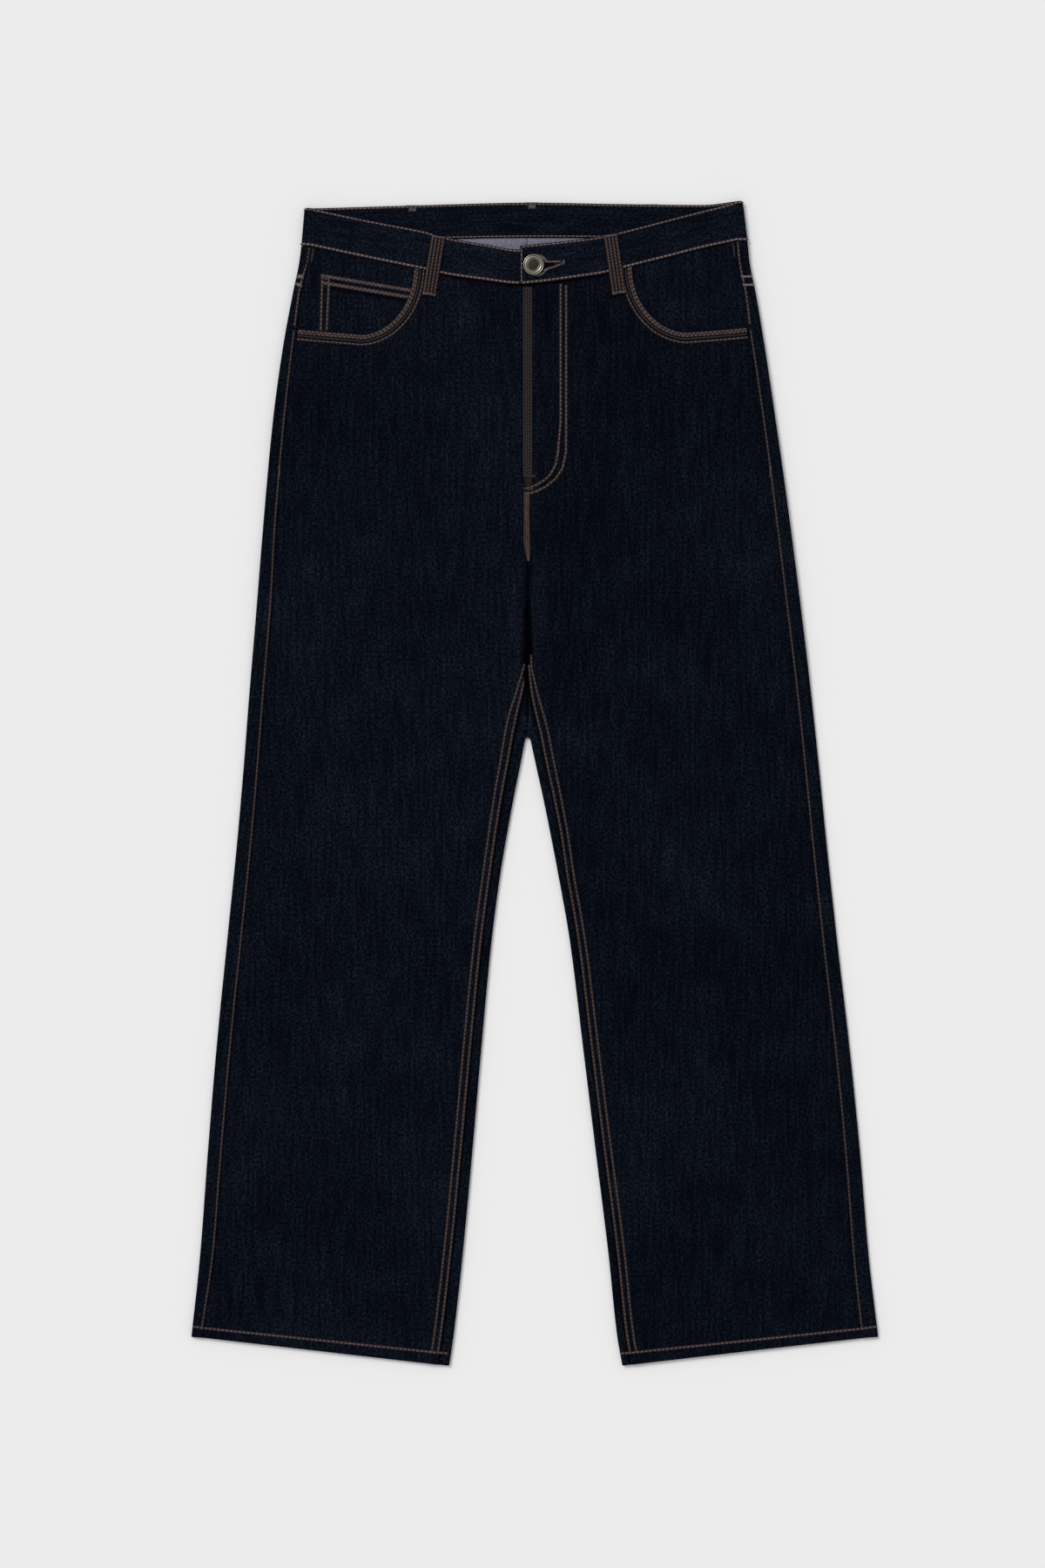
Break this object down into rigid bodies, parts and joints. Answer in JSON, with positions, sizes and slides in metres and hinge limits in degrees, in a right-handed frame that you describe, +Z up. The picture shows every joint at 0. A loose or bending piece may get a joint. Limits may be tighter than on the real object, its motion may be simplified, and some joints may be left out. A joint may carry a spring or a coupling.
{
  "type": "relaxed fit jeans",
  "caption": "Straight-leg denim jeans laid flat front up: folded waistband with loops, scoop pockets, lapped fly and turned hems.",
  "frame": {"origin": "centre of the laid-out outline, on the surface the jeans lie on", "axes": "+Y towards the waist, +X towards the wearer's left leg, +Z up, away from the surface"},
  "size_m": [0.646, 1.0949, 0.0112],
  "materials": {
    "denim": "dark indigo cotton twill, unwashed, pale on its wrong side",
    "topstitch": "copper brown topstitching thread",
    "button_metal": "antique plated button with plain rings"
  },
  "bodies": {
    "root": {"back_panel_r": "denim", "back_panel_l": "denim", "front_panel_r": "denim", "front_panel_l": "denim", "back_yoke_r": "denim", "back_yoke_l": "denim", "pocket_facing_r": "denim", "pocket_facing_l": "denim", "coin_pocket": "denim", "back_pocket_r": "denim", "back_pocket_l": "denim", "waistband": "denim", "belt_loop_front_r": "denim", "belt_loop_front_l": "denim", "belt_loop_back_r": "denim", "belt_loop_back_centre": "denim", "belt_loop_back_l": "denim", "waist_button": "button_metal"}
  },
  "joints": []
}
